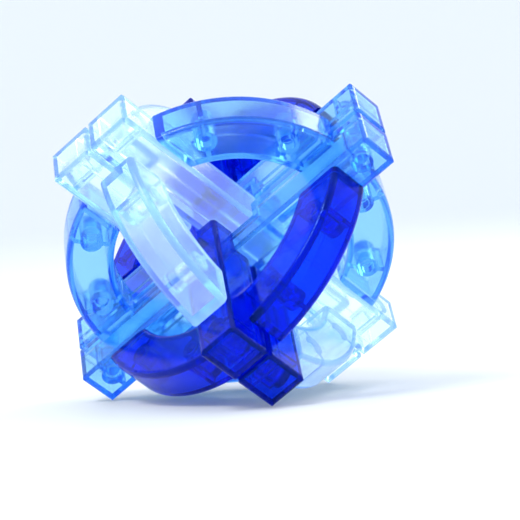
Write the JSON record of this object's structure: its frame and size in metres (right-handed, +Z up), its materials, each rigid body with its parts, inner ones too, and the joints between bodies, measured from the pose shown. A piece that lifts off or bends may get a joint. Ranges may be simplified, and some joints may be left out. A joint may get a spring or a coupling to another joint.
{
  "type": "interlocking ball burr puzzle",
  "caption": "Hollow translucent plastic ball puzzle made of interlocking anchor-shaped pieces in crossing pairs, with a key piece that slides out",
  "frame": {"origin": "on the surface that the ball stands on, under the ball's centre", "axes": "+Z up along a body diagonal of the burr; the blue pair runs from low at the front, -Y, to high at the back, +Y; the clear key points to -X and up, the upper cyan piece to +X and up"},
  "size_m": [0.069, 0.0752, 0.0612],
  "materials": {
    "clear_plastic": "clear moulded polystyrene, glossy outside",
    "cyan_plastic": "translucent light cyan moulded polystyrene, glossy",
    "blue_plastic": "translucent deep blue moulded polystyrene, glossy"
  },
  "bodies": {
    "clear_key": {"clear_key_outer_half": "clear_plastic", "clear_key_inner_half": "clear_plastic"},
    "clear_anchor": {"clear_anchor_outer_half": "clear_plastic", "clear_anchor_inner_half": "clear_plastic"},
    "cyan_upper": {"cyan_upper_outer_half": "cyan_plastic", "cyan_upper_inner_half": "cyan_plastic"},
    "cyan_lower": {"cyan_lower_outer_half": "cyan_plastic", "cyan_lower_inner_half": "cyan_plastic"},
    "blue_lower": {"blue_lower_outer_half": "blue_plastic", "blue_lower_inner_half": "blue_plastic"},
    "blue_upper": {"blue_upper_outer_half": "blue_plastic", "blue_upper_inner_half": "blue_plastic"}
  },
  "joints": [
    {"name": "key_slide", "type": "slide", "parent": "clear_anchor", "child": "clear_key", "axis": [-0.7071, -0.4082, 0.5774], "range_m": [0, 0.07]},
    {"name": "cyan_upper_play", "type": "slide", "parent": "clear_anchor", "child": "cyan_upper", "axis": [0.7071, -0.4082, 0.5774], "range_m": [0, 0.001]},
    {"name": "cyan_lower_play", "type": "slide", "parent": "clear_anchor", "child": "cyan_lower", "axis": [-0.7071, 0.4082, -0.5774], "range_m": [0, 0.001]},
    {"name": "blue_lower_play", "type": "slide", "parent": "clear_anchor", "child": "blue_lower", "axis": [0, -0.8165, -0.5774], "range_m": [0, 0.001]},
    {"name": "blue_upper_play", "type": "slide", "parent": "clear_anchor", "child": "blue_upper", "axis": [0, 0.8165, 0.5774], "range_m": [0, 0.001]}
  ]
}
